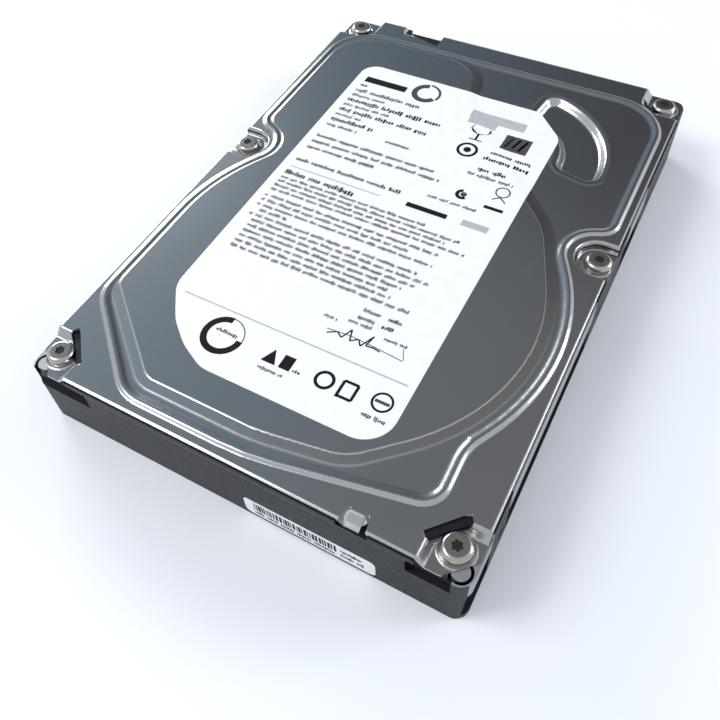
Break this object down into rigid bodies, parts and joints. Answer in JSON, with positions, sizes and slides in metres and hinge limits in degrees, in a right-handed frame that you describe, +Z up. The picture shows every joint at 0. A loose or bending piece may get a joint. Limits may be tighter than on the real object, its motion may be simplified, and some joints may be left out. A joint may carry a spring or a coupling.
{
  "type": "hard disk drive",
  "caption": "Slim 3.5-inch hard disk drive: cast base, stamped cover with label, circuit board and rear plug, spinning platter and swinging head arm inside.",
  "frame": {"origin": "centre of the bounding box in plan, on the plane that the drive rests on", "axes": "+X to the right as the cover label is read, +Y towards the connector end, +Z up out of the cover"},
  "size_m": [0.1016, 0.147, 0.02],
  "materials": {
    "cast_aluminium": "cast, coated dark grey, machined on the rim",
    "cover_steel": "rolled, plated, fine grain",
    "seal_rubber": "moulded seal",
    "screw_steel": "plated",
    "label_paper": "satin white label with grey print",
    "front_label_paper": "satin white label with bars",
    "motor_steel": "turned",
    "laminated_steel": "stamped laminations",
    "copper_wire": "enamelled copper wire",
    "flex_film": "amber polyimide film",
    "yoke_steel": "plated, stamped",
    "magnet": "nickel plated",
    "stop_rubber": "elastomer sleeve",
    "ground_steel": "ground",
    "bracket_steel": "stamped",
    "black_plastic": "moulded, fine texture",
    "filter_felt": "needled fibre",
    "desiccant_bag": "porous wrap",
    "foil": "adhesive foil",
    "board_laminate": "green solder mask",
    "foam": "thin foam",
    "chip_epoxy": "moulded epoxy",
    "crystal_can": "metal can",
    "small_parts": "ceramic chip parts",
    "gold_contacts": "gold plated",
    "hub_aluminium": "turned",
    "disk_mirror": "polished",
    "arm_aluminium": "machined",
    "coil_moulding": "moulded",
    "suspension_steel": "etched sheet",
    "slider_ceramic": "lapped"
  },
  "bodies": {
    "chassis": {"base_casting": "cast_aluminium", "bearing_sleeve": "motor_steel", "board_components": "small_parts", "board_insulator": "foam", "board_screws": "screw_steel", "breather_filter": "filter_felt", "cache_memory_chip": "chip_epoxy", "circuit_board": "board_laminate", "clock_crystal": "crystal_can", "controller_chip": "chip_epoxy", "cover_gasket": "seal_rubber", "cover_screws": "screw_steel", "data_power_plug": "black_plastic", "desiccant_pack": "desiccant_bag", "flash_memory_chip": "chip_epoxy", "flex_bracket": "bracket_steel", "flex_bracket_screw": "screw_steel", "flex_cable": "flex_film", "foil_seal": "foil", "front_label": "front_label_paper", "head_connector": "black_plastic", "inner_crash_stop": "stop_rubber", "jumper_block": "black_plastic", "jumper_pins": "gold_contacts", "latch_pin": "ground_steel", "lower_magnet": "magnet", "lower_yoke": "yoke_steel", "motor_bracket": "motor_steel", "motor_contact_pads": "gold_contacts", "motor_contact_strip": "flex_film", "motor_driver_chip": "chip_epoxy", "outer_crash_stop": "stop_rubber", "pivot_post": "ground_steel", "pivot_screw": "screw_steel", "plug_contacts": "gold_contacts", "product_label": "label_paper", "recirculation_filter": "filter_felt", "stator_coils": "copper_wire", "stator_core": "laminated_steel", "top_cover": "cover_steel", "upper_magnet": "magnet", "upper_yoke": "yoke_steel", "yoke_posts": "yoke_steel", "yoke_screws": "screw_steel"},
    "spindle": {"spindle_hub": "hub_aluminium", "spindle_shaft": "ground_steel", "rotor_magnet": "magnet", "platter": "disk_mirror", "platter_clamp": "hub_aluminium", "clamp_screws": "screw_steel"},
    "actuator": {"actuator_arm_block": "arm_aluminium", "pivot_bearing": "ground_steel", "voice_coil": "copper_wire", "coil_frame": "coil_moulding", "upper_suspension": "suspension_steel", "lower_suspension": "suspension_steel", "upper_slider": "slider_ceramic", "lower_slider": "slider_ceramic", "preamp_chip": "chip_epoxy"},
    "latch": {"latch_lever": "coil_moulding"}
  },
  "joints": [
    {"name": "spindle_spin", "type": "hinge", "parent": "chassis", "child": "spindle", "pos_m": [0, -0.0225, 0.012], "axis": [0, 0, 1], "continuous": true},
    {"name": "actuator_swing", "type": "hinge", "parent": "chassis", "child": "actuator", "pos_m": [0.014, 0.033, 0.012], "axis": [0, 0, 1], "range_deg": [-30, 0], "deforming": ["flex_cable"]},
    {"name": "latch_swing", "type": "hinge", "parent": "chassis", "child": "latch", "pos_m": [0.0105, 0.06149, 0.012], "axis": [0, 0, 1], "range_deg": [-5, 0]}
  ]
}
